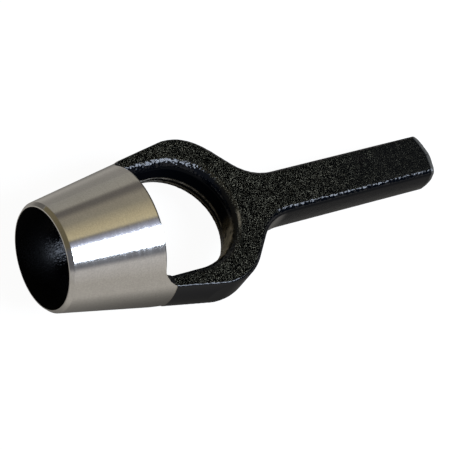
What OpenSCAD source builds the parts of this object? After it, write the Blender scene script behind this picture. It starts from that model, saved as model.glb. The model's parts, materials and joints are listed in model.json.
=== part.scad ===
// Arch punch: a cutting ring with a tapered, ground outside, carried by a forged arch
// whose two arms join in a shank that is struck with a hammer. It lies on its side,
// broad face up, on the ring's back rim and the end of its shank.

/* [Cutting head] */
// Diameter of the disc that the punch cuts, inside the edge
cut_d = 32; // [20:0.5:60]
// Length of the head, from the cutting edge to its back face
head_len = 30.4; // [20:0.2:50]
// Wall of the head at its back face
rim_wall = 4.75; // [3.5:0.05:7]
// Length of the bevel behind the cutting edge
bevel_len = 1.2; // [0.6:0.1:3]
// Height of the bevel, which is the wall behind the cutting edge
bevel_h = 1.3; // [0.8:0.1:2.5]
// Length of the straight bore behind the cutting edge
land_len = 8; // [3:0.5:15]
// How much wider, on each side, the bore is at the back face
bore_relief = 1.75; // [0.5:0.05:3]

/* [Arch] */
// Thickness of the forging, which is the thickness of arms and shank
forging_t = 14; // [10:0.5:20]
// Length of the window, from the head's back face to the inside of the crown
window_len = 34.6; // [28:0.2:60]
// Width of an arm at the shoulder
shoulder_wall = 8.25; // [6:0.05:12]
// Distance from the centre of the window's round end to the widest point
shoulder_set = 7.2; // [3:0.1:12]
// Radius of the shoulders, outside
shoulder_r = 18.5; // [14:0.1:24]
// Length of the straight flank between shoulder and neck
flank_len = 8.4; // [4:0.1:14]
// Radius of the hollow where the flank runs into the shank
neck_r = 16.2; // [8:0.1:24]
// Radius of the forging's edges
edge_r = 3; // [1:0.1:4.5]
// How far the black arms stand proud of the ground taper
arm_proud = 0.25; // [0.1:0.05:0.6]

/* [Shank] */
// Length of the whole punch, from the cutting edge to the struck face
overall_len = 147; // [120:1:220]
// Width of the shank across the arch's plane
shank_w = 15; // [11:0.1:20]
// Diameter of the flat struck face
struck_d = 10; // [6:0.5:12]
// Length of the crowned end, from the struck face to the shank's corners
crown_len = 3; // [1:0.1:6]

/* [Root welds] */
// Leg of a root weld along the arm
weld_len = 4.6; // [2:0.1:8]
// Leg of a root weld up the head's back face
weld_h = 5.1; // [2:0.1:7]
// Radius of the weld's hollow face
weld_hollow_r = 10; // [6:0.5:30]

/* [Hidden] */
$fn = 96;

STEEL = [0.66, 0.65, 0.62];
ENAMEL = [0.07, 0.07, 0.08];
WELD = [0.13, 0.13, 0.14];
// Length by which a cutting or trimming shape runs past what it cuts
over = 1;
// Straight steps along a shoulder or neck, and across a rounded edge
arc_steps = 12;
edge_steps = 4;

// Head
cut_r = cut_d / 2;
window_r = cut_r + bore_relief;
rim_r = window_r + rim_wall;
bevel_r = cut_r + bevel_h;
taper = (rim_r - bevel_r) / (head_len - bevel_len);
// Radius of the ground taper, carried on past the head, at a distance from the edge
function taper_r(x) = bevel_r + taper * (x - bevel_len);

// Plan of the forging: x from the cutting edge, y across the arch
half_t = forging_t / 2;
half_w = window_r + shoulder_wall;
half_shank = shank_w / 2;
window_x = head_len + window_len - window_r;
shoulder_x = window_x + shoulder_set;
shoulder_y = half_w - shoulder_r;
// The flank touches the shoulder's circle and the neck's circle, which touches the shank
reach = shoulder_r + neck_r;
flank_a = atan(flank_len / reach)
    + asin((half_shank + neck_r - shoulder_y) / norm([reach, flank_len]));
out = [cos(flank_a), sin(flank_a)];
down = [sin(flank_a), -cos(flank_a)];
flank_top = [shoulder_x, shoulder_y] + shoulder_r * out;
flank_foot = flank_top + flank_len * down;
neck_at = flank_foot + neck_r * out;

// Shank end
struck_r = struck_d / 2;
corner_r = norm([half_shank, half_t]);
crown_slope = crown_len / (corner_r - struck_r);

// Resting pose: the lowest line touches the rim below the head and the shank's end
foot_x = overall_len - crown_slope * (half_t - struck_r);
rest_a = atan((rim_r - half_t) / (foot_x - head_len));
rest_up = head_len * sin(rest_a) + rim_r * cos(rest_a);
low_x = -cut_r * sin(rest_a);
high_x = overall_len * cos(rest_a) + struck_r * sin(rest_a);

// Lays the tool down: it is drawn with its axis along X and its edge at x = 0
module laid_down() {
    translate([-(low_x + high_x) / 2, 0, rest_up])
        rotate([0, rest_a, 0])
            children();
}

// Turns a profile of [radius, distance from the edge] about the tool's axis
module turned(profile) {
    rotate([0, 90, 0])
        rotate_extrude()
            polygon(profile);
}

// Points round a circle, each with the outline's outward normal: [x, y, normal x, normal y]
function arc(at, r, from_a, to_a, steps, sense) = [
    for (i = [0:steps])
        let (a = from_a + (to_a - from_a) * i / steps)
        [at[0] + r * cos(a), at[1] + r * sin(a), sense * cos(a), sense * sin(a)]
];

// Plan of the forging: outside of the far half, the same of the near half, then the window
far_side = concat(
    [[head_len - over, half_w, 0, 1]],
    arc([shoulder_x, shoulder_y], shoulder_r, 90, flank_a, arc_steps, 1),
    arc(neck_at, neck_r, 180 + flank_a, 270, arc_steps, -1),
    [[overall_len + over, half_shank, 0, 1]]
);
near_side = [
    for (i = [len(far_side) - 1:-1:0])
        let (p = far_side[i])
        [p[0], -p[1], p[2], -p[3]]
];
window_side = concat(
    [[head_len - over, -window_r, 0, 1]],
    arc([window_x, 0], window_r, -90, 90, 2 * arc_steps, -1),
    [[head_len - over, window_r, 0, -1]]
);
plan = concat(far_side, near_side, window_side);
plan_n = len(plan);

// Face of the plan as convex pieces: the two arms, the crown's middle, then neck and shank
crown_i = arc_steps + 1;
function far_i(i) = i;
function near_i(i) = 2 * len(far_side) - 1 - i;
function far_window_i(i) = plan_n - 1 - i;
function near_window_i(i) = 2 * len(far_side) + i;
plan_faces = concat(
    [
        for (i = [0:crown_i - 1])
            [far_i(i), far_i(i + 1), far_window_i(i + 1), far_window_i(i)]
    ],
    [
        for (i = [0:crown_i - 1])
            [near_window_i(i), near_window_i(i + 1), near_i(i + 1), near_i(i)]
    ],
    [[
        far_window_i(crown_i),
        far_i(crown_i),
        far_i(crown_i + 1),
        near_i(crown_i + 1),
        near_i(crown_i)
    ]],
    [
        for (i = [crown_i + 1:len(far_side) - 2])
            [far_i(i), far_i(i + 1), near_i(i + 1), near_i(i)]
    ]
);

// Levels of the rounded edge, from the upper face to the lower: [drawn in by, height]
upper_levels = [
    for (i = [0:edge_steps])
        let (a = 90 - 90 * i / edge_steps)
        [edge_r * (1 - cos(a)), half_t - edge_r + edge_r * sin(a)]
];
levels = concat(
    upper_levels,
    [for (i = [edge_steps:-1:0]) [upper_levels[i][0], -upper_levels[i][1]]]
);

// A plate of the plan's outline with rounded edges, before it is turned and cut to length
module forged_blank() {
    bottom = (len(levels) - 1) * plan_n;
    polyhedron(
        points = [
            for (level = levels, p = plan)
                [p[0] - level[0] * p[2], p[1] - level[0] * p[3], level[1]]
        ],
        faces = concat(
            plan_faces,
            [
                for (k = [0:len(levels) - 2], i = [0:plan_n - 1])
                    let (j = (i + 1) % plan_n, above = k * plan_n, below = above + plan_n)
                    each [[above + j, above + i, below + i], [above + j, below + i, below + j]]
            ],
            [for (f = plan_faces) [for (i = [len(f) - 1:-1:0]) bottom + f[i]]]
        ),
        convexity = 4
    );
}

module cutting_head() {
    color(STEEL)
        laid_down()
            turned([
                [cut_r, 0],
                [bevel_r, bevel_len],
                [rim_r, head_len],
                [window_r, head_len],
                [cut_r, land_len]
            ]);
}

// Outside of the arms and the shank's end, as turned about the axis
module turned_limit() {
    turned([
        [0, head_len],
        [taper_r(head_len), head_len],
        [taper_r(head_len + weld_len), head_len + weld_len],
        [taper_r(head_len + weld_len) + arm_proud, head_len + weld_len],
        [taper_r(shoulder_x + shoulder_r) + arm_proud, shoulder_x + shoulder_r],
        [corner_r + over, overall_len - crown_len - crown_slope * over],
        [struck_r, overall_len],
        [0, overall_len]
    ]);
}

module arch_handle() {
    color(ENAMEL)
        laid_down()
            intersection() {
                forged_blank();
                turned_limit();
            }
}

// Hollow fillet between the head's back face and the broad face of an arm
module weld_section() {
    toe = [head_len + weld_len, half_t];
    top = [head_len, half_t + weld_h];
    chord = top - toe;
    rise = sqrt(weld_hollow_r * weld_hollow_r - chord * chord / 4);
    away = [weld_h, weld_len] / norm(chord);
    difference() {
        translate([head_len, half_t - edge_r])
            square([weld_len, weld_h + edge_r]);
        translate((toe + top) / 2 + rise * away)
            circle(weld_hollow_r);
    }
}

// The far arm where the welds lie on it, run past their ends
module arm_at_welds() {
    translate([head_len - over, 0, 0])
        rotate([90, 0, 90])
            linear_extrude(weld_len + 2 * over)
                polygon(concat(
                    [for (level = levels) [window_r + level[0], level[1]]],
                    [[half_w + over, -half_t], [half_w + over, half_t]]
                ));
}

module root_welds() {
    color(WELD)
        laid_down()
            for (side = [0, 1], face = [0, 1])
                mirror([0, side, 0])
                    mirror([0, 0, face])
                        difference() {
                            intersection() {
                                translate([0, half_w, 0])
                                    rotate([90, 0, 0])
                                        linear_extrude(half_w - window_r)
                                            weld_section();
                                turned_limit();
                            }
                            arm_at_welds();
                        }
}

cutting_head();
arch_handle();
root_welds();
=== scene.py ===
# %% [markdown]
# # An arch punch
# The tool is a steel ring with a cutting edge, carried by a black forged arch whose arms join in a shank.
# The solids give its size and its place. Here each of them gets the surface that the real one has: a ground
# taper on the ring, and the coarse skin of a forging under black enamel on the arch.

# %% Load the solids
import json
from math import asin, atan, cos, degrees, hypot, pi, radians, sin

import bmesh
import bpy
import numpy as np
from mathutils import Matrix, Vector


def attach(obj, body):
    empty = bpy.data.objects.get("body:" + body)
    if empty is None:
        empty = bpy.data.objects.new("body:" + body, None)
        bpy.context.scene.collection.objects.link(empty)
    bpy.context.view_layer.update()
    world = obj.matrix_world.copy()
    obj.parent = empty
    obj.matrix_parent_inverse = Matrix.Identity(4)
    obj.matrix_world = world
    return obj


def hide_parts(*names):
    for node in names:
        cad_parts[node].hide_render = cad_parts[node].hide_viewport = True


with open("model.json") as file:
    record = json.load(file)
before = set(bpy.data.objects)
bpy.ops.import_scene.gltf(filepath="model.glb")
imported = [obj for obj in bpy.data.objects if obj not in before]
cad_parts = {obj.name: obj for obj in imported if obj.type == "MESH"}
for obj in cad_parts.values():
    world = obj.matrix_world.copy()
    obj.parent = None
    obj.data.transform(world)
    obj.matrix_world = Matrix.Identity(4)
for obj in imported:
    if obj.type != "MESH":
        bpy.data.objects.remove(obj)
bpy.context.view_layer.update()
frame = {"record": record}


# %% [markdown]
# ## The tool's own axis
# The punch lies on its side, so its axis dips towards the struck end. Turned and forged shapes are easiest to
# draw straight, with the cutting edge at x = 0 and the axis along X. The record says where the struck face is
# and which way it looks, and from these two facts comes the matrix that lays a finished piece down.

# %% Axis and resting place
MM = 0.001
OVERALL_LEN = 147.0

struck_face = next(m for m in frame["record"]["mounts"] if m["name"] == "struck_face")
axis = Vector(struck_face["axis"]).normalized()
mouth = Vector(struck_face["pos_m"]) - OVERALL_LEN * MM * axis
across = Vector((0, 1, 0))
tilted = Matrix((axis, across, axis.cross(across))).transposed().to_4x4()
LAID_DOWN = Matrix.Translation(mouth) @ tilted
DIP = asin(-axis.z)
print("axis dips by", round(degrees(DIP), 2), "degrees, mouth at", [round(c, 4) for c in mouth])

# %% [markdown]
# ## The camera
# The photograph was taken from high up on the mouth's side, from far away with a long lens, and with the
# camera rolled so that the shank climbs to the right. The camera is placed by its aim, its direction and its
# distance, because these are easy to change one at a time.

# %% Camera
VIEW_AIM = Vector((-7.50, -4.14, 17.16)) * MM
VIEW_DISTANCE = 725.0 * MM
VIEW_AZIMUTH = radians(53.85)
VIEW_ELEVATION = radians(58.82)
VIEW_ROLL = radians(31.95)
VIEW_LENS = 183.6
VIEW_CLIP = 10 * MM

bpy.ops.object.select_all(action="DESELECT")
bpy.ops.object.camera_add()
camera = bpy.context.object
camera.data.lens = VIEW_LENS
camera.data.clip_start = VIEW_CLIP
direction = Matrix.Rotation(-VIEW_AZIMUTH, 4, "Z") @ Matrix.Rotation(pi / 2 - VIEW_ELEVATION, 4, "X")
back_off = Matrix.Translation((0, 0, VIEW_DISTANCE))
roll = Matrix.Rotation(VIEW_ROLL, 4, "Z")
camera.matrix_world = Matrix.Translation(VIEW_AIM) @ direction @ back_off @ roll
bpy.context.scene.camera = camera
print("camera at", [round(c, 3) for c in camera.matrix_world.translation])

# %% [markdown]
# ## Working by hand, in code
# Every piece is drawn as a modeller would draw it: a primitive is the start, edges are extruded or spun, and
# modifiers finish the shape. These helpers keep the selection clean, because an operator acts on all that is
# selected.

# %% Helpers for edit mode
SAME_POINT = 0.0005
NEAR = 0.01


def only(piece):
    """Selects one object and makes it active."""
    bpy.ops.object.select_all(action="DESELECT")
    piece.select_set(True)
    bpy.context.view_layer.objects.active = piece


def open_mesh(piece):
    only(piece)
    bpy.ops.object.mode_set(mode="EDIT")


def close_mesh():
    bpy.ops.object.mode_set(mode="OBJECT")


def pick(piece, kind, wanted):
    """In edit mode, selects the edges or faces for which wanted(element) is true."""
    bpy.ops.mesh.select_mode(type=kind)
    bpy.ops.mesh.select_all(action="DESELECT")
    drawn = bmesh.from_edit_mesh(piece.data)
    for element in drawn.edges if kind == "EDGE" else drawn.faces:
        element.select_set(wanted(element))
    bmesh.update_edit_mesh(piece.data)


def middle(edge):
    """Middle of an edge, in millimetres."""
    return (edge.verts[0].co + edge.verts[1].co) / (2 * MM)


def finish_modifier(piece, modifier):
    only(piece)
    bpy.ops.object.modifier_apply(modifier=modifier.name)


def cut_by(piece, cutter, operation):
    """Applies a boolean with another object, which is then removed."""
    cut = piece.modifiers.new("cut", "BOOLEAN")
    cut.operation = operation
    cut.solver = "EXACT"
    cut.material_mode = "TRANSFER"
    cut.object = cutter
    finish_modifier(piece, cut)
    bpy.data.objects.remove(cutter)


def mend_normals(piece):
    """Merges doubles and turns all faces outwards."""
    open_mesh(piece)
    bpy.ops.mesh.select_all(action="SELECT")
    bpy.ops.mesh.remove_doubles(threshold=SAME_POINT * MM)
    bpy.ops.mesh.normals_make_consistent(inside=False)
    close_mesh()


# %% [markdown]
# ## Turned shapes
# The ring is turned and ground about the axis, so it starts as a circle that is pulled along the axis and
# resized at each corner of its profile. A lathe profile and a spin would do as well, but pulling rings keeps
# the seams closed from the start. The same helper makes the shapes that the forging is turned and ground to.

# %% Helper for turned shapes
RING_STEPS = 288


def turned(name, profile, closed):
    """Pulls a circle through a profile of (distance from the edge, radius), in millimetres."""
    here_x, here_r = profile[0]
    bpy.ops.object.select_all(action="DESELECT")
    bpy.ops.mesh.primitive_circle_add(
        vertices=RING_STEPS, radius=here_r * MM, location=(here_x * MM, 0, 0), rotation=(0, pi / 2, 0)
    )
    piece = bpy.context.object
    piece.name = piece.data.name = name
    bpy.ops.object.transform_apply(location=True, rotation=True, scale=True)
    open_mesh(piece)
    bpy.ops.mesh.select_all(action="SELECT")
    if not closed:
        bpy.ops.mesh.edge_face_add()
    for x, r in profile[1:]:
        bpy.ops.mesh.extrude_region_move(TRANSFORM_OT_translate={"value": ((x - here_x) * MM, 0, 0)})
        bpy.ops.transform.resize(value=(1, r / here_r, r / here_r), center_override=(x * MM, 0, 0))
        here_x, here_r = x, r
    close_mesh()
    mend_normals(piece)
    return piece


# %% [markdown]
# ## The cutting ring
# Outside is one long ground taper, with a short steep bevel at the edge. Inside, the bore is straight for a
# little way and then widens, so that cut discs move back freely. The corners get tiny bevels: no ground edge
# is perfectly sharp, and the thin light line along it is what the eye reads as metal. A row of faces close to
# each corner keeps the smooth shading from creeping out over the taper.

# %% Cutting ring
CUT_R = 16.0
BEVEL_LEN = 1.2
BEVEL_R = 17.3
HEAD_LEN = 30.4
RIM_R = 22.5
WINDOW_R = 17.75
LAND_LEN = 8.0
EDGE_LAND = 0.35
LAND_LEAN = 0.05
CORNER_BEVEL = 0.12
RIM_BEVEL = 0.22
BEVEL_STEPS = 3
SUPPORT = 0.4
BEVEL_SUPPORT = 0.24
ON_RIM = 0.05
ROOT_CLEAR = 0.5
WELD_LEN = 4.6
WELD_H = 5.1
HALF_T = 7.0

taper = (RIM_R - BEVEL_R) / (HEAD_LEN - BEVEL_LEN)


def taper_r(x):
    """Radius of the ground taper, carried on past the ring."""
    return BEVEL_R + taper * (x - BEVEL_LEN)


def bevel_r(x):
    """Radius of the bevel, between the narrow land at the edge and the taper."""
    land_r = CUT_R + EDGE_LAND
    return land_r + (BEVEL_R - land_r) * (x - LAND_LEAN) / (BEVEL_LEN - LAND_LEAN)


ring = turned("cutting_ring", [
    (0.0, CUT_R),
    (LAND_LEAN, CUT_R + EDGE_LAND),
    (BEVEL_LEN - BEVEL_SUPPORT, bevel_r(BEVEL_LEN - BEVEL_SUPPORT)),
    (BEVEL_LEN, BEVEL_R),
    (BEVEL_LEN + SUPPORT, taper_r(BEVEL_LEN + SUPPORT)),
    (HEAD_LEN / 2, taper_r(HEAD_LEN / 2)),
    (HEAD_LEN - 2 * SUPPORT, taper_r(HEAD_LEN - 2 * SUPPORT)),
    (HEAD_LEN, RIM_R),
    (HEAD_LEN, RIM_R - 2 * SUPPORT),
    (HEAD_LEN, WINDOW_R),
    (LAND_LEN, CUT_R),
    (0.0, CUT_R),
], closed=True)
open_mesh(ring)
pick(ring, "EDGE", lambda edge: abs(middle(edge).x - BEVEL_LEN) < NEAR)
bpy.ops.mesh.bevel(offset=CORNER_BEVEL * MM, segments=BEVEL_STEPS, affect="EDGES")
pick(ring, "EDGE", lambda edge: abs(middle(edge).x - HEAD_LEN) < NEAR
     and hypot(middle(edge).y, middle(edge).z) > RIM_R - ON_RIM
     and abs(middle(edge).z) > HALF_T + WELD_H + ROOT_CLEAR)
bpy.ops.mesh.bevel(offset=RIM_BEVEL * MM, segments=BEVEL_STEPS, affect="EDGES")
close_mesh()
print("ring:", len(ring.data.polygons), "faces")

# %% [markdown]
# ## The blank of the forging
# Seen from above, the forging is a fork: two arms, round shoulders, hollow necks and a straight shank. One
# half of that outline is drawn as on paper, with straight pulls and spun arcs that touch each other. It is
# filled, pulled up to the thickness and mirrored. A curve could draw the same outline, but its points would
# have to be worked out first. The arms are a hair narrower than the solid's, to leave room for the grain.

# %% Outline of the blank
SHANK_W = 15.0
SHOULDER_WALL = 8.24
SHOULDER_SET = 7.2
SHOULDER_R = 18.5
FLANK_LEN = 8.4
NECK_R = 16.2
WINDOW_LEN = 34.6
SPARE = 1.0
ARC_STEPS = 30
SAME_CORNER = 0.001
SAME_MIDDLE = 0.002

half_w = WINDOW_R + SHOULDER_WALL
half_shank = SHANK_W / 2
window_x = HEAD_LEN + WINDOW_LEN - WINDOW_R
shoulder_at = Vector((window_x + SHOULDER_SET, half_w - SHOULDER_R, 0))
reach = SHOULDER_R + NECK_R
flank_a = atan(FLANK_LEN / reach) + asin((half_shank + NECK_R - shoulder_at.y) / hypot(reach, FLANK_LEN))
outward = Vector((cos(flank_a), sin(flank_a), 0))
along_flank = Vector((sin(flank_a), -cos(flank_a), 0))
neck_at = shoulder_at + reach * outward + FLANK_LEN * along_flank


class Pen:
    """Draws an outline in edit mode from a single vertex, in millimetres."""

    def __init__(self, name, x, y, z):
        bpy.ops.object.select_all(action="DESELECT")
        bpy.ops.mesh.primitive_plane_add(size=MM)
        self.piece = bpy.context.object
        self.piece.name = self.piece.data.name = name
        open_mesh(self.piece)
        bpy.ops.mesh.select_mode(type="VERT")
        bpy.ops.mesh.select_all(action="SELECT")
        bpy.ops.mesh.merge(type="CENTER")
        bpy.ops.transform.translate(value=(x * MM, y * MM, z * MM))
        self.here = Vector((x, y, z))

    def line_to(self, x, y, z):
        goal = Vector((x, y, z))
        bpy.ops.mesh.extrude_region_move(TRANSFORM_OT_translate={"value": (goal - self.here) * MM})
        self.here = goal

    def arc(self, centre, turn_by, about):
        """Spins the vertex about a centre. With no window, a spin turns the other way round its axis."""
        bpy.ops.mesh.spin(steps=ARC_STEPS, angle=-turn_by, center=centre * MM, axis=about)
        self.here = centre + Matrix.Rotation(turn_by, 3, about) @ (self.here - centre)

    def fill(self):
        bpy.ops.mesh.select_all(action="SELECT")
        bpy.ops.mesh.remove_doubles(threshold=SAME_CORNER * MM)
        bpy.ops.mesh.edge_face_add()


up = Vector((0, 0, 1))
pen = Pen("arch_forging", HEAD_LEN - SPARE, half_w, -HALF_T)
pen.line_to(shoulder_at.x, half_w, -HALF_T)
pen.arc(Vector((shoulder_at.x, shoulder_at.y, -HALF_T)), flank_a - pi / 2, up)
flank_foot = pen.here + FLANK_LEN * along_flank
pen.line_to(flank_foot.x, flank_foot.y, -HALF_T)
pen.arc(Vector((neck_at.x, neck_at.y, -HALF_T)), pi / 2 - flank_a, up)
pen.line_to(OVERALL_LEN + SPARE, half_shank, -HALF_T)
pen.line_to(OVERALL_LEN + SPARE, 0, -HALF_T)
pen.line_to(window_x + WINDOW_R, 0, -HALF_T)
pen.arc(Vector((window_x, 0, -HALF_T)), pi / 2, up)
pen.line_to(HEAD_LEN - SPARE, WINDOW_R, -HALF_T)
pen.line_to(HEAD_LEN - SPARE, half_w, -HALF_T)
pen.fill()
forging = pen.piece
bpy.ops.mesh.extrude_region_move(TRANSFORM_OT_translate={"value": (0, 0, 2 * HALF_T * MM)})
pick(forging, "FACE", lambda face: all(abs(v.co.y) < SAME_CORNER * MM for v in face.verts))
bpy.ops.mesh.delete(type="FACE")
close_mesh()

both = forging.modifiers.new("other half", "MIRROR")
both.use_axis = (False, True, False)
both.merge_threshold = SAME_MIDDLE * MM
finish_modifier(forging, both)
mend_normals(forging)
blank_size = [round(c / MM, 1) for c in forging.dimensions]
print("blank:", len(forging.data.polygons), "faces,", blank_size, "mm")

# %% [markdown]
# ## Rounded edges
# A forging leaves its dies with round edges: full ones above in the window and on the flanks, smaller ones
# along the shank, and crisp ones outside on the arms. Below, the window's edge is sharp from the punching.
# Each edge gets a bevel weight by its place, and one Bevel modifier rounds them all, so that one radius runs
# smoothly into the next. The ends stay square, because they are cut off later.

# %% Edges of the blank
WINDOW_EDGE_R = 3.3
SHANK_EDGE_R = 2.1
FLANK_EDGE_R = 2.6
ARM_EDGE_R = 0.75
TRIM_EDGE_R = 0.4
FLANK_RISE = (54.0, 70.0)
FLANK_FALL = (74.0, 90.0)
EDGE_SEGMENTS = 7
ON_WALL = 0.1


def from_window(x, y):
    """Distance from the middle of the window's outline, which is its radius on the window's wall."""
    return np.hypot(np.maximum(x - window_x, 0), y)


def ramp(value, low, high):
    """0 below low, 1 above high, and a smooth rise between them."""
    t = np.clip((value - low) / (high - low), 0, 1)
    return t * t * (3 - 2 * t)


def edge_radius(m):
    """Radius of the rounded edge at a place on the outline of a broad face, in millimetres."""
    if abs(m.y) < NEAR or not HEAD_LEN - SPARE + NEAR < m.x < OVERALL_LEN + SPARE - NEAR:
        return 0.0
    if from_window(m.x, m.y) < WINDOW_R + ON_WALL:
        return WINDOW_EDGE_R if m.z > 0 else TRIM_EDGE_R
    flank_r = FLANK_EDGE_R if m.z > 0 else SHANK_EDGE_R
    on_flank = ARM_EDGE_R + (flank_r - ARM_EDGE_R) * ramp(m.x, *FLANK_RISE)
    return on_flank + (SHANK_EDGE_R - flank_r) * ramp(m.x, *FLANK_FALL)


points = forging.data.vertices
weights = forging.data.attributes.new("bevel_weight_edge", "FLOAT", "EDGE")
for edge in forging.data.edges:
    start, end = (points[index].co / MM for index in edge.vertices)
    if abs(start.z - end.z) < NEAR:
        weights.data[edge.index].value = edge_radius((start + end) / 2) / WINDOW_EDGE_R
rounding = forging.modifiers.new("rounding", "BEVEL")
rounding.limit_method = "WEIGHT"
rounding.width = WINDOW_EDGE_R * MM
rounding.segments = EDGE_SEGMENTS
rounding.use_clamp_overlap = False
finish_modifier(forging, rounding)
print("rounded blank:", len(forging.data.polygons), "faces")

# %% [markdown]
# ## Turned arms and a crowned end
# Outside, the arms carry the ring's taper on, a little proud of it, so they were turned along with it. The
# struck end is crowned, so that a blow lands in its middle, and it is a little out of square, as a sawn and
# hand ground end is. Two turned shapes give these forms, and what stands outside them is cut away. A last cut
# along the floor keeps the end's lower edge from dipping into it.

# %% Turning
ARM_PROUD = 0.25
CROWN = (
    (144.6, 10.8), (145.5, 9.0), (146.05, 8.15), (146.45, 7.8), (146.75, 7.4), (146.95, 6.4), (147.0, 4.0),
)
CROWN_DROP = 1.5
END_SKEW = radians(2.4)
FLOOR_CLEAR = 0.12
PAST_ALL = 40.0
CUTTER_SIZE = 1000.0

shoulder_end = shoulder_at.x + SHOULDER_R


def turn_down(piece):
    """Cuts away what stands outside the turned arms."""
    turning = turned("turning", [
        (HEAD_LEN - 2 * SPARE, taper_r(HEAD_LEN - 2 * SPARE) + ARM_PROUD),
        (shoulder_end, taper_r(shoulder_end) + ARM_PROUD),
        (OVERALL_LEN + 2 * SPARE, taper_r(shoulder_end) + ARM_PROUD),
    ], closed=False)
    cut_by(piece, turning, "INTERSECT")


turn_down(forging)
crown = turned("crown", [(0, PAST_ALL), (CROWN[0][0], PAST_ALL), *CROWN], closed=False)
END_FRAME = (
    Matrix.Translation((OVERALL_LEN * MM, 0, -CROWN_DROP * MM))
    @ Matrix.Rotation(END_SKEW, 4, "Z")
    @ Matrix.Translation((-OVERALL_LEN * MM, 0, 0))
)
crown.matrix_world = END_FRAME
cut_by(forging, crown, "INTERSECT")
bpy.ops.object.select_all(action="DESELECT")
bpy.ops.mesh.primitive_cube_add(size=CUTTER_SIZE * MM)
under_floor = bpy.context.object
sunk = Matrix.Translation((0, 0, (FLOOR_CLEAR - CUTTER_SIZE / 2) * MM))
under_floor.matrix_world = LAID_DOWN.inverted() @ sunk
cut_by(forging, under_floor, "DIFFERENCE")
print("turned blank:", len(forging.data.polygons), "faces")

# %% [markdown]
# ## The punched window
# The dies meet a little below the middle of the forging, and from there down the window widens again, with a
# fold where the waste was punched out. The punch's shape is drawn as a plate of the window's outline, its
# lower end is made larger, and it is cut away. At the roots the widening runs out.

# %% Punched window
FOLD_Z = -1.4
DRAFT = 0.244
PUNCH_TOP = 0.65
PUNCH_END = -8.0
PUNCH_FROM = HEAD_LEN + WELD_LEN
ROOT_SHARE = 0.98


def drafted(z):
    """Radius of the punched lower half of the window at a height."""
    return WINDOW_R + DRAFT * (FOLD_Z - z)


top_r = drafted(PUNCH_TOP)
pen = Pen("window_punch", PUNCH_FROM, -top_r, PUNCH_TOP)
pen.line_to(window_x, -top_r, PUNCH_TOP)
pen.arc(Vector((window_x, 0, PUNCH_TOP)), pi, up)
pen.line_to(PUNCH_FROM, top_r, PUNCH_TOP)
pen.fill()
punch = pen.piece
wider = drafted(PUNCH_END) / top_r
bpy.ops.mesh.extrude_region_move(TRANSFORM_OT_translate={"value": (0, 0, (PUNCH_END - PUNCH_TOP) * MM)})
bpy.ops.transform.resize(value=(wider, wider, 1), center_override=(window_x * MM, 0, 0))
pick(punch, "EDGE", lambda edge: middle(edge).x < PUNCH_FROM and middle(edge).z < PUNCH_END + NEAR)
bpy.ops.transform.resize(value=(1, ROOT_SHARE * top_r / drafted(PUNCH_END), 1), center_override=(0, 0, 0))
close_mesh()
mend_normals(punch)
cut_by(forging, punch, "DIFFERENCE")
print("punched blank:", len(forging.data.polygons), "faces, window", round(drafted(-HALF_T), 2), "mm below")

# %% [markdown]
# ## Hollows at the roots
# Where an arm meets the ring, a hollow sweeps up from the broad face to the ring's back. Its section is drawn
# with one arc, pulled across the arm and mirrored to all four roots. It only has to overlap the arm, because
# the next step makes one skin of all that touches.

# %% Root hollows
HOLLOW_R = 10.0
HOLLOW_SINK = 4.0
HOLLOW_EDGE_R = 1.8
HOLLOW_SEGMENTS = 4

toe = Vector((HEAD_LEN + WELD_LEN, WINDOW_R, HALF_T))
top = Vector((HEAD_LEN, WINDOW_R, HALF_T + WELD_H))
chord = top - toe
away = Vector((WELD_H, 0, WELD_LEN)).normalized()
hollow_turn = 2 * asin(chord.length / 2 / HOLLOW_R)
hollow_at = (toe + top) / 2 + HOLLOW_R * cos(hollow_turn / 2) * away

pen = Pen("root_hollows", HEAD_LEN - SPARE, WINDOW_R, HALF_T - HOLLOW_SINK)
pen.line_to(toe.x, WINDOW_R, HALF_T - HOLLOW_SINK)
pen.line_to(*toe)
pen.arc(hollow_at, hollow_turn, across)
pen.line_to(HEAD_LEN - SPARE, WINDOW_R, top.z)
pen.fill()
hollows = pen.piece
bpy.ops.mesh.extrude_region_move(TRANSFORM_OT_translate={"value": (0, (half_w - WINDOW_R) * MM, 0)})
pick(hollows, "EDGE", lambda edge: abs(middle(edge).y - WINDOW_R) < NEAR
     and middle(edge).z > HALF_T and middle(edge).x > HEAD_LEN - NEAR)
bpy.ops.mesh.bevel(offset=HOLLOW_EDGE_R * MM, segments=HOLLOW_SEGMENTS, affect="EDGES")
close_mesh()
four = hollows.modifiers.new("all roots", "MIRROR")
four.use_axis = (False, True, True)
four.use_mirror_merge = False
finish_modifier(hollows, four)
mend_normals(hollows)
turn_down(hollows)
print("root hollows:", len(hollows.data.polygons), "faces")

# %% [markdown]
# ## One even skin
# The parts are joined and remeshed with small voxels, which melts every place where they meet and gives a
# grid fine enough to carry the forging's grain. A subdivision surface would round the crisp arms as well, so
# the remesh is followed only by a little smoothing.

# %% Remesh
VOXEL = 0.36
SMOOTH_FACTOR = 0.5
SMOOTH_STEPS = 4

only(forging)
hollows.select_set(True)
bpy.ops.object.join()
skin = forging.modifiers.new("even skin", "REMESH")
skin.mode = "VOXEL"
skin.voxel_size = VOXEL * MM
finish_modifier(forging, skin)
ease = forging.modifiers.new("ease", "SMOOTH")
ease.factor = SMOOTH_FACTOR
ease.iterations = SMOOTH_STEPS
finish_modifier(forging, ease)
print("skin:", len(forging.data.polygons), "faces")

# %% [markdown]
# ## Forged grain
# The broad faces and their round edges keep the coarse skin of the dies, while the sides are smooth. Weights
# worked out from each point's normal say how much grain it gets. Displace modifiers then press two sizes of
# noise into the surface, a little more inwards than outwards, so that the forging keeps its size. A bump in
# the material would be cheaper, but the outline and the broken highlights along the edges need real dents.

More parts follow.
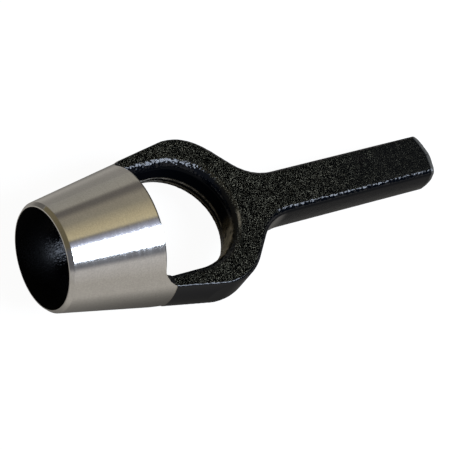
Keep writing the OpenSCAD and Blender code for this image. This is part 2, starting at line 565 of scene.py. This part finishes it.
# %% Grain
GRAIN_DEPTH = 0.24
GRAIN_SIZE = 1.2
DENT_DEPTH = 0.14
DENT_SIZE = 5.0
SIDE_GRAIN = 0.10
GRAIN_TILT = (0.25, 0.75)
GRAIN_LEVEL = 0.62
GRAIN_OCTAVES = 2


def read_points(piece):
    """Places in millimetres and normals of a piece's points, as two arrays."""
    count = len(piece.data.vertices)
    places = np.empty(count * 3)
    normals = np.empty(count * 3)
    piece.data.vertices.foreach_get("co", places)
    piece.data.vertices.foreach_get("normal", normals)
    return places.reshape(-1, 3) / MM, normals.reshape(-1, 3)


def weigh(piece, name, weights):
    """Keeps weights above 0 as a vertex group."""
    group = piece.vertex_groups.new(name=name)
    for index, weight in enumerate(weights):
        if weight > 0:
            group.add([index], weight, "REPLACE")


def press(piece, name, group, depth, size):
    """Presses noise into the surface."""
    noise = bpy.data.textures.new(name, "CLOUDS")
    noise.noise_scale = size * MM
    noise.noise_depth = GRAIN_OCTAVES
    dents = piece.modifiers.new(name, "DISPLACE")
    dents.vertex_group = group
    dents.texture = noise
    dents.texture_coords = "LOCAL"
    dents.mid_level = GRAIN_LEVEL
    dents.strength = depth * MM
    finish_modifier(piece, dents)


places, normals = read_points(forging)
broad = ramp(abs(normals[:, 2]), *GRAIN_TILT)
weigh(forging, "grain", np.maximum(broad, SIDE_GRAIN))
press(forging, "dents", "grain", DENT_DEPTH, DENT_SIZE)
press(forging, "grain", "grain", GRAIN_DEPTH, GRAIN_SIZE)
print("grain pressed into", int((broad > 0.5).sum()), "points")

# %% [markdown]
# ## Ground roots
# After the enamel, the ring was ground bright, and the wheel ran a little way on to the roots of the arms. A
# turned shape stands for the wheel's path: it cuts the forging back to the ring's taper there, and the faces
# that it leaves take its material. Painting a mask would be simpler, but the step where the grinding ends can
# be felt with a fingernail.

# %% Ground roots
ground_taper = bpy.data.materials.new("ground_taper")
forged_enamel = bpy.data.materials.new("forged_enamel")
bore_oxide = bpy.data.materials.new("bore_oxide")

ground_end = HEAD_LEN + WELD_LEN
wheel_path = turned("wheel_path", [
    (HEAD_LEN, RIM_R),
    (ground_end, taper_r(ground_end)),
    (ground_end, PAST_ALL),
    (OVERALL_LEN + SPARE, PAST_ALL),
], closed=False)
wheel_path.data.materials.append(ground_taper)
forging.data.materials.clear()
forging.data.materials.append(forged_enamel)
cut_by(forging, wheel_path, "INTERSECT")
bright = [face for face in forging.data.polygons if face.material_index > 0]
print("forging:", len(forging.data.polygons), "faces,", len(bright), "of them ground,",
      [m.name for m in forging.data.materials])

# %% [markdown]
# ## Two finishes on the ring
# The ring is bright outside and black in its bore and at its back, so its faces get one of two materials by
# the way they look.

# %% Faces of the ring
INWARD = -0.5
BACKWARD = 0.9

ring.data.materials.append(ground_taper)
ring.data.materials.append(bore_oxide)
for face in ring.data.polygons:
    at = face.center / MM
    from_axis = Vector((0, at.y, at.z)).normalized()
    in_bore = face.normal.dot(from_axis) < INWARD
    at_back = face.normal.x > BACKWARD and hypot(at.y, at.z) < RIM_R - RIM_BEVEL
    face.material_index = 1 if in_bore or at_back else 0
print("ring:", sum(face.material_index for face in ring.data.polygons), "black faces")

# %% [markdown]
# ## Painted reflections on the window's wall
# On the forging one material does all, and four attributes tell it where it is. The first says where light
# tones are painted in as reflections and a highlight: on a stretch of the window's wall, most where it faces
# back and across, on two lines low on the wall, most of all at the far side, and as a highlight along the
# window's upper round edge near the crown. Painting such a mask by hand would do as well, but places and
# normals give the same result each time.

# %% Mask of the painted reflections
WALL_DEPTH, WALL_TILT = (1.5, 2.1), (0.35, 0.60)
FACING_BACK, FACING_ACROSS = (0.15, 0.45), (0.10, 0.60)
REFLECTED_LINES = ((-2.0, 0.65), (-5.0, 0.50))
REFLECTED_HALF, REFLECTED_TURN = (0.2, 0.9), (60, 85)
HIGHLIGHT_FROM, HIGHLIGHT_TO = (-32, -18), (-14, -6)
HIGHLIGHT_INSIDE, HIGHLIGHT_OUTSIDE = (19.4, 19.9), (20.1, 20.7)
HIGHLIGHT_SHARE = 0.35


def fall(value, low, high):
    """1 below low, 0 above high, and a smooth fall between them."""
    return 1 - ramp(value, low, high)


def keep_mask(piece, name, values):
    """Keeps one value for each point of a piece, for its material to read."""
    mask = piece.data.attributes.new(name, "FLOAT", "POINT")
    mask.data.foreach_set("value", np.ascontiguousarray(values, dtype=np.float32))
    print("mask", name, "covers", round(float(values.mean()), 3))


places, normals = read_points(forging)
x, y, z = places.T
tilt_x, tilt_y, tilt_z = normals.T
from_middle = from_window(x, y)
turned_by = np.degrees(np.arctan2(y, x - window_x))
# Painted reflection on a stretch of the window's wall, most where it faces back and across.
wall = fall(from_middle, *(WINDOW_R + depth for depth in WALL_DEPTH)) * fall(abs(tilt_z), *WALL_TILT)
reflecting = ramp(-tilt_x, *FACING_BACK) * ramp(tilt_y, *FACING_ACROSS)
# Two lines low on the wall get a painted reflection, strongest at the far side.
for line_z, least in REFLECTED_LINES:
    line = fall(abs(z - line_z), *REFLECTED_HALF)
    reflecting = np.maximum(reflecting, line * (least + (1 - least) * ramp(turned_by, *REFLECTED_TURN)))
# A painted highlight along the window's upper round edge, near the crown.
at_highlight = (z > 0) * ramp(turned_by, *HIGHLIGHT_FROM) * fall(turned_by, *HIGHLIGHT_TO)
at_highlight *= ramp(from_middle, *HIGHLIGHT_INSIDE) * fall(from_middle, *HIGHLIGHT_OUTSIDE)
keep_mask(forging, "wall_reflection", np.maximum(wall * reflecting, HIGHLIGHT_SHARE * at_highlight))

# %% [markdown]
# ## Rubbed end, lumpy edges and broad faces
# The other three attributes say where blows have rubbed the enamel off, which is near the crowned end, where it
# has set in lumps, which is on the round upper edges at the window and along the shank, and where a broad face
# is. The distance from the crown is measured in the crown's own frame, because the end is out of square.

# %% Masks of the end, the edges and the broad faces
RUBBED_WIDTH, RUBBED_BLEND = 1.25, 0.2
LUMPY_TILT, LUMPY_FLAT = (0.25, 0.45), (0.94, 0.99)
LUMPY_WIDTH, LUMPY_LENGTH, LUMPY_SHANK = (20.4, 21.2), (60, 70), (80, 90)
SHANK_LUMPS = 0.7
BROAD_TILT = (0.80, 0.97)
BROAD_CLEAR = 0.8

to_end = END_FRAME.inverted()
end_x, end_y, end_z = (places @ np.array(to_end.to_3x3()).T + np.array(to_end.translation) / MM).T
crown_x, crown_r = zip(*reversed(CROWN))
below_end = np.interp(np.hypot(end_y, end_z), crown_r, crown_x) - end_x
keep_mask(forging, "rubbed", fall(below_end, RUBBED_WIDTH - RUBBED_BLEND, RUBBED_WIDTH + RUBBED_BLEND))
at_window = fall(from_middle, *LUMPY_WIDTH) * fall(x, *LUMPY_LENGTH)
at_shank = fall(tilt_z, *LUMPY_FLAT) * ramp(x, *LUMPY_SHANK)
keep_mask(forging, "lumpy", ramp(tilt_z, *LUMPY_TILT) * np.maximum(at_window, SHANK_LUMPS * at_shank))
off_the_end = ramp(below_end, RUBBED_WIDTH, RUBBED_WIDTH + BROAD_CLEAR)
keep_mask(forging, "broad", ramp(abs(tilt_z), *BROAD_TILT) * off_the_end)

# %% [markdown]
# ## Laying the pieces down
# Both pieces are still straight, as drawn. The matrix from the start lays them on the floor, and applying it
# puts their place into the mesh, so that the objects themselves stay at the origin.

# %% Laying down
RING_SHARP, FORGING_SHARP = 32, 45

for piece, sharp_from in ((ring, RING_SHARP), (forging, FORGING_SHARP)):
    only(piece)
    piece.matrix_world = LAID_DOWN
    bpy.ops.object.transform_apply(location=True, rotation=True, scale=True)
    bpy.ops.object.shade_smooth_by_angle(angle=radians(sharp_from))
    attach(piece, "root")
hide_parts("cutting_head")
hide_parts("arch_handle", "root_welds")
lowest = [round(min(v.co.z for v in piece.data.vertices) / MM, 3) for piece in (ring, forging)]
print("lowest points:", lowest, "mm")

# %% [markdown]
# ## Building materials in code
# Materials are graphs of nodes. One helper adds a node and sets or links its sockets, and the others are short
# names for the nodes that come up again and again.

# %% Helpers for nodes
MIX_FACTOR, MIX_A, MIX_B, MIX_RESULT = 0, 6, 7, 2


def add(tree, kind, sockets=None, **settings):
    """Adds a node, sets its properties, and sets or links its inputs."""
    node = tree.nodes.new(kind)
    for name, value in settings.items():
        setattr(node, name, value)
    for name, value in (sockets or {}).items():
        if isinstance(value, bpy.types.NodeSocket):
            tree.links.new(value, node.inputs[name])
        else:
            node.inputs[name].default_value = value
    return node


def math(tree, operation, a, b=0.0):
    return add(tree, "ShaderNodeMath", {0: a, 1: b}, operation=operation).outputs[0]


def times(tree, value, *factors):
    for factor in factors:
        value = math(tree, "MULTIPLY", value, factor)
    return value


def vector_math(tree, operation, a, b=(0, 0, 0)):
    return add(tree, "ShaderNodeVectorMath", {0: a, 1: b}, operation=operation).outputs


def rise(tree, value, low, high, to_low=0.0, to_high=1.0):
    """Smooth step of a value from low to high."""
    node = add(tree, "ShaderNodeMapRange", {
        "Value": value, "From Min": low, "From Max": high, "To Min": to_low, "To Max": to_high,
    }, interpolation_type="SMOOTHSTEP")
    return node.outputs["Result"]


def noise(tree, vector, scale, detail=2.0, roughness=0.5):
    return add(tree, "ShaderNodeTexNoise", {
        "Vector": vector, "Scale": scale, "Detail": detail, "Roughness": roughness,
    }).outputs["Fac"]


def stretch(tree, vector, scale):
    return add(tree, "ShaderNodeMapping", {"Vector": vector, "Scale": scale}).outputs["Vector"]


def mix_colour(tree, factor, a, b):
    sockets = {MIX_FACTOR: factor, MIX_A: a, MIX_B: b}
    return add(tree, "ShaderNodeMix", sockets, data_type="RGBA").outputs[MIX_RESULT]


def dented(tree, height, depth):
    """Normal of a surface with a height of 0 to 1 that stands for a depth in metres."""
    return add(tree, "ShaderNodeBump", {"Height": height, "Distance": depth, "Strength": 1.0}).outputs["Normal"]


# %% [markdown]
# ## Groups and materials
# An effect that more than one material uses is a group with named sockets. Every material starts from the same
# place: a point's distance along the tool's axis and its place about it, as if the tool stood straight.

# %% Helpers for groups and materials
def new_group(name, inputs, outputs):
    """A node group with sockets of the given names and kinds. Returns it with its input and output nodes."""
    group = bpy.data.node_groups.new(name, "ShaderNodeTree")
    for direction, sockets in (("INPUT", inputs), ("OUTPUT", outputs)):
        for label, kind in sockets.items():
            group.interface.new_socket(label, in_out=direction, socket_type="NodeSocket" + kind)
    return group, group.nodes.new("NodeGroupInput"), group.nodes.new("NodeGroupOutput")


def hand_out(group, made, sockets):
    """Links a group's results to its outputs."""
    for label, socket in sockets.items():
        group.links.new(socket, made.inputs[label])


def use_group(tree, group, sockets):
    return add(tree, "ShaderNodeGroup", sockets, node_tree=group).outputs


def start_material(material):
    """Empties a material. Returns its tree, and the place along and about the tool's axis in metres."""
    material.use_nodes = True
    tree = material.node_tree
    tree.nodes.clear()
    here = add(tree, "ShaderNodeTexCoord").outputs["Object"]
    stood_up = add(tree, "ShaderNodeMapping", {
        "Vector": here, "Rotation": (0, -DIP, 0), "Location": LAID_DOWN.inverted().translation,
    })
    return tree, stood_up.outputs["Vector"]


def finish_material(tree, sockets):
    shader = add(tree, "ShaderNodeBsdfPrincipled", sockets)
    add(tree, "ShaderNodeOutputMaterial", {"Surface": shader.outputs["BSDF"]})


# %% [markdown]
# ## Grinding lines
# The wheel leaves fine lines round the taper. They spread a reflection along the axis and leave it crisp
# across, which is what makes ground steel look drawn out. Noise that is squeezed along the axis gives the
# lines, and the group hands out their height, a slow mottle and the fine grain of the wheel's grit.
# Anisotropic shading would give the spread too, but none of the lines.

# %% Grinding lines
LINE_RUN = 0.020
FINE_LINE, FINE_DETAIL, FINE_SHARE = 0.00022, 3.0, 0.6
COARSE_LINE, COARSE_DETAIL, COARSE_SHARE = 0.0006, 2.0, 0.5
MOTTLE_SCALE, MOTTLE_DETAIL, MOTTLE_ROUGHNESS = 140.0, 3.0, 0.6
GRIT, GRIT_DETAIL = 0.0005, 1.0

grinding_lines, given, made = new_group("grinding_lines", {"Vector": "Vector"}, {
    "Height": "Float", "Streaks": "Float", "Mottle": "Float", "Grain": "Float",
})
place = given.outputs["Vector"]


def lines_of(width, detail):
    """Noise that is drawn out round the axis, in lines of a width in metres."""
    drawn_out = stretch(grinding_lines, place, (1 / width, 1 / LINE_RUN, 1 / LINE_RUN))
    return noise(grinding_lines, drawn_out, 1.0, detail)


fine = lines_of(FINE_LINE, FINE_DETAIL)
coarse = lines_of(COARSE_LINE, COARSE_DETAIL)
hand_out(grinding_lines, made, {
    "Height": math(grinding_lines, "ADD", times(grinding_lines, fine, FINE_SHARE),
                   times(grinding_lines, coarse, COARSE_SHARE)),
    "Streaks": coarse,
    "Mottle": noise(grinding_lines, place, MOTTLE_SCALE, MOTTLE_DETAIL, MOTTLE_ROUGHNESS),
    "Grain": noise(grinding_lines, place, 1 / GRIT, GRIT_DETAIL),
})
print("grinding lines:", len(grinding_lines.nodes), "nodes")

# %% [markdown]
# ## Ground steel
# Bare steel is all reflection, so its colour is only a slight tint. The lines move its roughness and its
# normal, and the mottle warms and cools it a little, as handling does.

# %% Ground steel
LINE_DEPTH = 0.000005
MOTTLE_TONES = (0.61, 0.59, 0.555, 1), (0.71, 0.695, 0.665, 1)
STREAK_TONE, STREAK_LEVELS, STREAK_SHARE = (0.55, 0.535, 0.51, 1), (0.35, 0.70), 0.16
GRIT_TONE, GRIT_LEVELS, GRIT_SHARE = (0.45, 0.44, 0.42, 1), (0.35, 0.65), 0.24
ROUGH_LEVELS, STEEL_ROUGHNESS = (0.3, 0.7), (0.09, 0.14)

tree, place = start_material(ground_taper)
lines = use_group(tree, grinding_lines, {"Vector": place})
tint = mix_colour(tree, lines["Mottle"], *MOTTLE_TONES)
tint = mix_colour(tree, rise(tree, lines["Streaks"], *STREAK_LEVELS, 0.0, STREAK_SHARE), tint, STREAK_TONE)
tint = mix_colour(tree, rise(tree, lines["Grain"], *GRIT_LEVELS, 0.0, GRIT_SHARE), tint, GRIT_TONE)
finish_material(tree, {
    "Base Color": tint,
    "Metallic": 1.0,
    "Roughness": rise(tree, lines["Streaks"], *ROUGH_LEVELS, *STEEL_ROUGHNESS),
    "Normal": dented(tree, lines["Height"], LINE_DEPTH),
})
print("ground steel:", len(tree.nodes), "nodes")

# %% [markdown]
# ## Forged grain
# Up close the enamel on the broad faces is pitted like cast iron, and light glints on its pits in small
# brownish specks, which are painted as a mask of flecks. On round edges it has set in small lumps, which break
# a highlight into dots. The group gives all three: a height for the pits, a mask of flecks, which the enamel
# uses for its painted glints, and a height for the lumps. It is shared with the bore, whose black is lumpy too.

# %% Forged grain
PIT_SIZE, PIT_DETAIL, PIT_ROUGHNESS = 0.0006, 4.0, 0.6
FLECK_SIZE, FLECK_DETAIL, FLECK_LEVELS = 0.00030, 1.0, (0.56, 0.67)
CLUSTER_SIZE, CLUSTER_DETAIL, CLUSTER_LEVELS = 0.0016, 2.0, (0.35, 0.65)
CLUSTER_LEAST = 0.35
LUMP_SIZE, LUMP_DETAIL = 0.0008, 0.0

forged_grain, given, made = new_group("forged_grain", {"Vector": "Vector"}, {
    "Height": "Float", "Flecks": "Float", "Lumps": "Float",
})
place = given.outputs["Vector"]
specks = noise(forged_grain, place, 1 / FLECK_SIZE, FLECK_DETAIL)
clusters = noise(forged_grain, place, 1 / CLUSTER_SIZE, CLUSTER_DETAIL)
hand_out(forged_grain, made, {
    "Height": noise(forged_grain, place, 1 / PIT_SIZE, PIT_DETAIL, PIT_ROUGHNESS),
    "Flecks": times(forged_grain, rise(forged_grain, specks, *FLECK_LEVELS),
                    rise(forged_grain, clusters, *CLUSTER_LEVELS, CLUSTER_LEAST, 1.0)),
    "Lumps": noise(forged_grain, place, 1 / LUMP_SIZE, LUMP_DETAIL),
})
print("forged grain:", len(forged_grain.nodes), "nodes")

# %% [markdown]
# ## Black enamel
# Enamel is a dark, smooth film over the forging. On the sides it shines evenly, and a faint blue in its colour
# there paints in a cool sheen. On the broad faces the grain breaks it up, and glints of light on the pits are
# painted as brownish flecks, fewer along the shank, which hands have worn smooth; there the broad faces are
# also painted a lighter grey, as a sheen. On the window's wall, brown and brownish grey tones paint in
# reflections and a highlight. Where it is rubbed, the metal is bare.

# %% Colour of the enamel
# The sides' film is given a faint blue, a painted cool sheen.
SIDE_FILM_AND_SHEEN, BROAD_FILM = (0.0007, 0.0014, 0.0028, 1), (0.0002, 0.0003, 0.0004, 1)
# Along the shank the broad faces are painted a lighter grey: wear, and a painted sheen.
WORN_FILM_AND_SHEEN = (0.0034, 0.0034, 0.0034, 1)
WORN_SMOOTH, WORN_GLINTS = (0.088, 0.135), 0.35
# Tone of the painted glints on the broad faces.
GLINT_TONE = (0.168, 0.160, 0.116, 1)
# Tones of the reflections and the highlight painted on the window's wall.
REFLECTION_TONES, HALF_REFLECTION = ((0.400, 0.335, 0.225, 1), (0.600, 0.560, 0.475, 1)), (0.40, 0.80)
RUBBED_TONE = (0.085, 0.081, 0.070, 1)
SCUFF_SCALE, SCUFF_DETAIL, SCUFF_ROUGHNESS = 420.0, 3.0, 0.65
REFLECTION_SCUFFS, RUBBED_SCUFFS = (0.25, 0.60), (0.30, 0.50)

tree, place = start_material(forged_enamel)
broad, wall_reflection, rubbed, lumpy = (
    add(tree, "ShaderNodeAttribute", attribute_name=name).outputs["Fac"]
    for name in ("broad", "wall_reflection", "rubbed", "lumpy")
)
grain = use_group(tree, forged_grain, {"Vector": place})
along = add(tree, "ShaderNodeSeparateXYZ", {"Vector": place}).outputs["X"]
# Painted glints: brownish flecks of light on the pits of the broad faces, fewer along the shank.
painted_glints = times(tree, grain["Flecks"], broad, rise(tree, along, *WORN_SMOOTH, 1.0, WORN_GLINTS))
scuffs = noise(tree, place, SCUFF_SCALE, SCUFF_DETAIL, SCUFF_ROUGHNESS)
# The sides get their film with its painted cool sheen.
film = mix_colour(tree, broad, SIDE_FILM_AND_SHEEN, BROAD_FILM)
# Lighter grey along the shank: wear, and a painted sheen.
film = mix_colour(tree, times(tree, broad, rise(tree, along, *WORN_SMOOTH)), film, WORN_FILM_AND_SHEEN)
film = mix_colour(tree, painted_glints, film, GLINT_TONE)
# The painted reflections and highlight on the window's wall.
reflected_tone = mix_colour(tree, rise(tree, wall_reflection, *HALF_REFLECTION), *REFLECTION_TONES)
film = mix_colour(tree, times(tree, wall_reflection, rise(tree, scuffs, *REFLECTION_SCUFFS)), film, reflected_tone)
film = mix_colour(tree, times(tree, rubbed, rise(tree, scuffs, *RUBBED_SCUFFS)), film, RUBBED_TONE)
print("enamel's colour:", len(tree.nodes), "nodes")

# %% [markdown]
# ## Relief and gloss of the enamel
# The pits are deepest on the broad faces and along the shank. The lumps are far deeper than the pits, but only
# where their mask is. Both heights go into one bump, so the lumps are given as a multiple of the pits' depth.

# %% Relief and gloss of the enamel
PIT_DEPTH, LUMP_DEPTH = 0.000035, 0.00018
PITTED_SHANK, ARCH_PITS = (0.070, 0.095), 0.5
ENAMEL_ROUGHNESS = (0.10, 0.14)
ENAMEL_SHINE = 0.3

pitted = math(tree, "MAXIMUM", rise(tree, broad, 0.0, 1.0), rise(tree, along, *PITTED_SHANK, ARCH_PITS, 1.0))
pits = times(tree, grain["Height"], pitted)
lumps = times(tree, grain["Lumps"], lumpy, LUMP_DEPTH / PIT_DEPTH)
finish_material(tree, {
    "Base Color": film,
    "Roughness": rise(tree, broad, 0.0, 1.0, *ENAMEL_ROUGHNESS),
    "Specular IOR Level": ENAMEL_SHINE,
    "Normal": dented(tree, math(tree, "ADD", pits, lumps), PIT_DEPTH),
})
print("black enamel:", len(tree.nodes), "nodes")

# %% [markdown]
# ## Blackened bore
# Inside, the ring keeps its black oxide. The straight land behind the edge is dull from use. Deeper in the
# oxide is still glossy, and its lumps break the one reflection up.

# %% Blackened bore
BORE_DEPTH = 0.00010
FINER = 1.8
DULL_LAND, BORE_ROUGHNESS = (0.006, 0.016), (0.60, 0.12)
OXIDE_TONES = (0.0008, 0.0008, 0.0012, 1), (0.004, 0.0038, 0.0035, 1)
OXIDE_SHINE = 0.14

tree, place = start_material(bore_oxide)
grain = use_group(tree, forged_grain, {"Vector": stretch(tree, place, (FINER, FINER, FINER))})
along = add(tree, "ShaderNodeSeparateXYZ", {"Vector": place}).outputs["X"]
finish_material(tree, {
    "Base Color": mix_colour(tree, grain["Flecks"], *OXIDE_TONES),
    "Roughness": rise(tree, along, *DULL_LAND, *BORE_ROUGHNESS),
    "Specular IOR Level": OXIDE_SHINE,
    "Normal": dented(tree, grain["Lumps"], BORE_DEPTH),
})
print("bore:", len(tree.nodes), "nodes")

# %% [markdown]
# ## Soft box
# One long soft box stands above the near side and gives the white band on the taper and the glint along the
# forging's edges. It lights the punch, but the camera doesn't see it.

# %% Soft box
KEY_ANGLE = radians(58.2)
KEY_DISTANCE = 0.80
KEY_SIZE = (0.775, 0.365)
KEY_SHIFT = 0.4375
KEY_POWER = 13.7
KEY_COLOUR = (0.72, 0.82, 1.0)

bpy.ops.object.select_all(action="DESELECT")
bpy.ops.object.light_add(type="AREA", location=(
    KEY_SHIFT, -KEY_DISTANCE * cos(KEY_ANGLE), KEY_DISTANCE * sin(KEY_ANGLE) + VIEW_AIM.z
), rotation=(pi / 2 - KEY_ANGLE, 0, 0))
key = bpy.context.object
key.name = "soft_box"
key.data.shape = "RECTANGLE"
key.data.size, key.data.size_y = KEY_SIZE
key.data.energy = KEY_POWER
key.data.color = KEY_COLOUR
key.visible_camera = False
print("light: soft box of", KEY_POWER, "W")

# %% [markdown]
# ## Studio walls
# The rest of the studio is the world: a few broad bands of grey round the tool's length, as walls, a reflector
# and dark flags would be. The angle of a band is 0 on the near side, 90 overhead and 180 on the far side. A
# second ramp holds the cool fringe above the soft box.

# %% Bands round the tool
BANDS = (
    (-180, (0.31, 0.30, 0.275)),
    (-179, (0.50, 0.48, 0.45)),
    (-1, (0.50, 0.48, 0.45)),
    (25, (0.60, 0.585, 0.58)),
    (33, (0.17, 0.175, 0.20)),
    (68, (0.17, 0.175, 0.20)),
    (85, (0.19, 0.18, 0.17)),
    (89, (0.60, 0.525, 0.34)),
    (98, (0.53, 0.46, 0.30)),
    (120, (0.29, 0.265, 0.21)),
    (133, (0.28, 0.255, 0.21)),
    (143, (0.14, 0.13, 0.12)),
    (151, (0.14, 0.13, 0.12)),
    (158, (0.34, 0.325, 0.29)),
    (180, (0.31, 0.30, 0.275)),
)
FRINGE = (
    (65, (0.00, 0.00, 0.00)),
    (69, (0.60, 0.64, 0.85)),
    (74, (0.50, 0.55, 0.75)),
    (78, (0.20, 0.23, 0.36)),
    (85, (0.00, 0.00, 0.00)),
)

world = bpy.data.worlds.new("studio")
bpy.context.scene.world = world
world.use_nodes = True
tree = world.node_tree
tree.nodes.clear()
towards = add(tree, "ShaderNodeTexCoord").outputs["Generated"]
x, y, z = add(tree, "ShaderNodeSeparateXYZ", {"Vector": towards}).outputs
around = math(tree, "ARCTAN2", z, times(tree, y, -1.0))
turn = math(tree, "ADD", times(tree, around, 0.5 / pi), 0.5)


def share_of_turn(angle):
    """Place of an angle on a ramp that runs from -180 to 180 degrees."""
    return (angle + 180) / 360


def colour_bands(tree, bands):
    """A colour ramp round the tool's length, from stops of (angle, colour)."""
    ramp_node = add(tree, "ShaderNodeValToRGB", {"Fac": turn})
    stops = ramp_node.color_ramp.elements
    while len(stops) < len(bands):
        stops.new(0.5)
    for stop, (angle, colour) in zip(stops, bands):
        stop.position = share_of_turn(angle)
        stop.color = (*colour, 1)
    return ramp_node.outputs["Color"]


walls_tone, fringe_tone = colour_bands(tree, BANDS), colour_bands(tree, FRINGE)
print("studio walls:", len(BANDS), "stops, fringe:", len(FRINGE), "stops")

# %% [markdown]
# ## Ends of the studio
# Towards the ends the bands are weaker, and beyond the mouth stands a brown wall, which the cutting bevel
# shows. The x of a direction says how far it points along the tool. The camera itself sees plain white.

# %% Ends of the studio
FAR_END, FAR_END_LIGHT = (0.38, 0.54), 0.02
NEAR_END, NEAR_END_LIGHT = (-0.85, -0.35), 0.80
LIFT, LIFT_LIGHT = (0.20, 0.36), 1.2
FRINGE_FROM = (0.02, 0.20)
MOUTH_TONE = (0.185, 0.160, 0.100, 1)
MOUTH_X, MOUTH_TURN = (-0.15, 0.05), (70, 85)


def camera_sees(tree, others, camera):
    """Shows the camera one shader, and reflections and light another."""
    ray = add(tree, "ShaderNodeLightPath").outputs["Is Camera Ray"]
    return add(tree, "ShaderNodeMixShader", {"Fac": ray, 1: others, 2: camera}).outputs[0]


far_end = rise(tree, x, *FAR_END, 1.0, FAR_END_LIGHT)
near_end = rise(tree, x, *NEAR_END, NEAR_END_LIGHT, 1.0)
ends = times(tree, far_end, near_end, rise(tree, x, *LIFT, 1.0, LIFT_LIGHT))
over_mouth = rise(tree, turn, *(share_of_turn(angle) for angle in MOUTH_TURN))
at_mouth = times(tree, rise(tree, x, *MOUTH_X, 1.0, 0.0), over_mouth)
walls = add(tree, "ShaderNodeBackground", {
    "Color": mix_colour(tree, at_mouth, walls_tone, MOUTH_TONE), "Strength": ends,
})
fringe = add(tree, "ShaderNodeBackground", {
    "Color": fringe_tone, "Strength": times(tree, far_end, rise(tree, x, *FRINGE_FROM)),
})
studio = add(tree, "ShaderNodeAddShader", {0: walls.outputs[0], 1: fringe.outputs[0]})
plain = add(tree, "ShaderNodeBackground", {"Color": (1, 1, 1, 1), "Strength": 1.0})
seen = camera_sees(tree, studio.outputs[0], plain.outputs[0])
add(tree, "ShaderNodeOutputWorld", {"Surface": seen})
print("world:", len(tree.nodes), "nodes")

# %% [markdown]
# ## The floor
# A pale sheet carries the punch. The punch itself reflects a duller sheet that glows an even grey, darker on
# the far side and before the mouth, with two painted shadows on it: a long one under the whole tool, and a deep
# one under the window. A painted lighter line along the shank's foot gives its side some roundness. All of them
# are shares by which the sheet's one tone is multiplied.

# %% Floor as the punch reflects it
FLOOR_SIZE = 6.0
FAR_FLOOR_Y, FAR_FLOOR = (0.0, 0.15), 0.62
MOUTH_FLOOR_X, MOUTH_FLOOR_Y, MOUTH_SHADE = (-0.085, -0.060), (0.035, 0.055), 0.5
SHADES = (
    (Vector((0.030, 0.000, 0)), Vector((1 / 2.2, 1, 0)), (0.034, 0.080), 0.17),
    (Vector((-0.022, 0.006, 0)), Vector((1, 1, 0)), (0.012, 0.022), 0.08),
)
FOOT_AT, FOOT_ACROSS = Vector((0.016, -0.0104, 0)), Vector((-0.0517, 0.9987, 0))
FOOT_RISE, FOOT_FALL, FOOT_FROM = (-0.0032, -0.0004), (0.002, 0.006), (0.0, 0.015)
FOOT_LIGHT = 1.9

bpy.ops.object.select_all(action="DESELECT")
bpy.ops.mesh.primitive_plane_add(size=FLOOR_SIZE, location=(0, 0, 0))
floor = bpy.context.object
floor.name = floor.data.name = "floor"
paper = bpy.data.materials.new("paper")
paper.use_nodes = True
tree = paper.node_tree
tree.nodes.clear()
here = add(tree, "ShaderNodeTexCoord").outputs["Object"]
x, y = add(tree, "ShaderNodeSeparateXYZ", {"Vector": here}).outputs[:2]
share = rise(tree, y, *FAR_FLOOR_Y, 1.0, FAR_FLOOR)
at_mouth = times(tree, rise(tree, x, *MOUTH_FLOOR_X, 1.0, 0.0), rise(tree, y, *MOUTH_FLOOR_Y))
share = times(tree, share, math(tree, "SUBTRACT", 1.0, times(tree, at_mouth, MOUTH_SHADE)))
for at, squeeze, edge, least in SHADES:
    offset = vector_math(tree, "MULTIPLY", vector_math(tree, "SUBTRACT", here, at)[0], squeeze)[0]
    distance = vector_math(tree, "LENGTH", offset)["Value"]
    share = times(tree, share, rise(tree, distance, *edge, least, 1.0))
from_foot = vector_math(tree, "SUBTRACT", here, FOOT_AT)[0]
inward = vector_math(tree, "DOT_PRODUCT", from_foot, FOOT_ACROSS)["Value"]
at_foot = times(tree, rise(tree, inward, *FOOT_RISE), rise(tree, inward, *FOOT_FALL, 1.0, 0.0),
                rise(tree, x, *FOOT_FROM, 0.0, FOOT_LIGHT))
share = times(tree, share, math(tree, "ADD", 1.0, at_foot))
print("floor:", FLOOR_SIZE, "m wide,", len(SHADES), "shadows")

# %% [markdown]
# ## The floor as the camera sees it
# To the camera the sheet glows a little, so that it stays white and takes only a faint shadow.

# %% Floor as the camera sees it
FLOOR_TONE = (0.50, 0.48, 0.45, 1)
FLOOR_GLOW = 0.95
SHADOW_TONE = (0.10, 0.10, 0.10, 1)

# The glow that the punch reflects, with its painted shadows and painted light line.
dull = add(tree, "ShaderNodeEmission", {"Color": FLOOR_TONE, "Strength": share})
lit = add(tree, "ShaderNodeBsdfDiffuse", {"Color": SHADOW_TONE})
glow = add(tree, "ShaderNodeEmission", {"Strength": FLOOR_GLOW})
pale = add(tree, "ShaderNodeAddShader", {0: lit.outputs[0], 1: glow.outputs[0]})
sheet = camera_sees(tree, dull.outputs[0], pale.outputs[0])
add(tree, "ShaderNodeOutputMaterial", {"Surface": sheet})
floor.data.materials.append(paper)
bpy.context.scene.view_settings.view_transform = "Standard"
print("paper:", len(tree.nodes), "nodes")
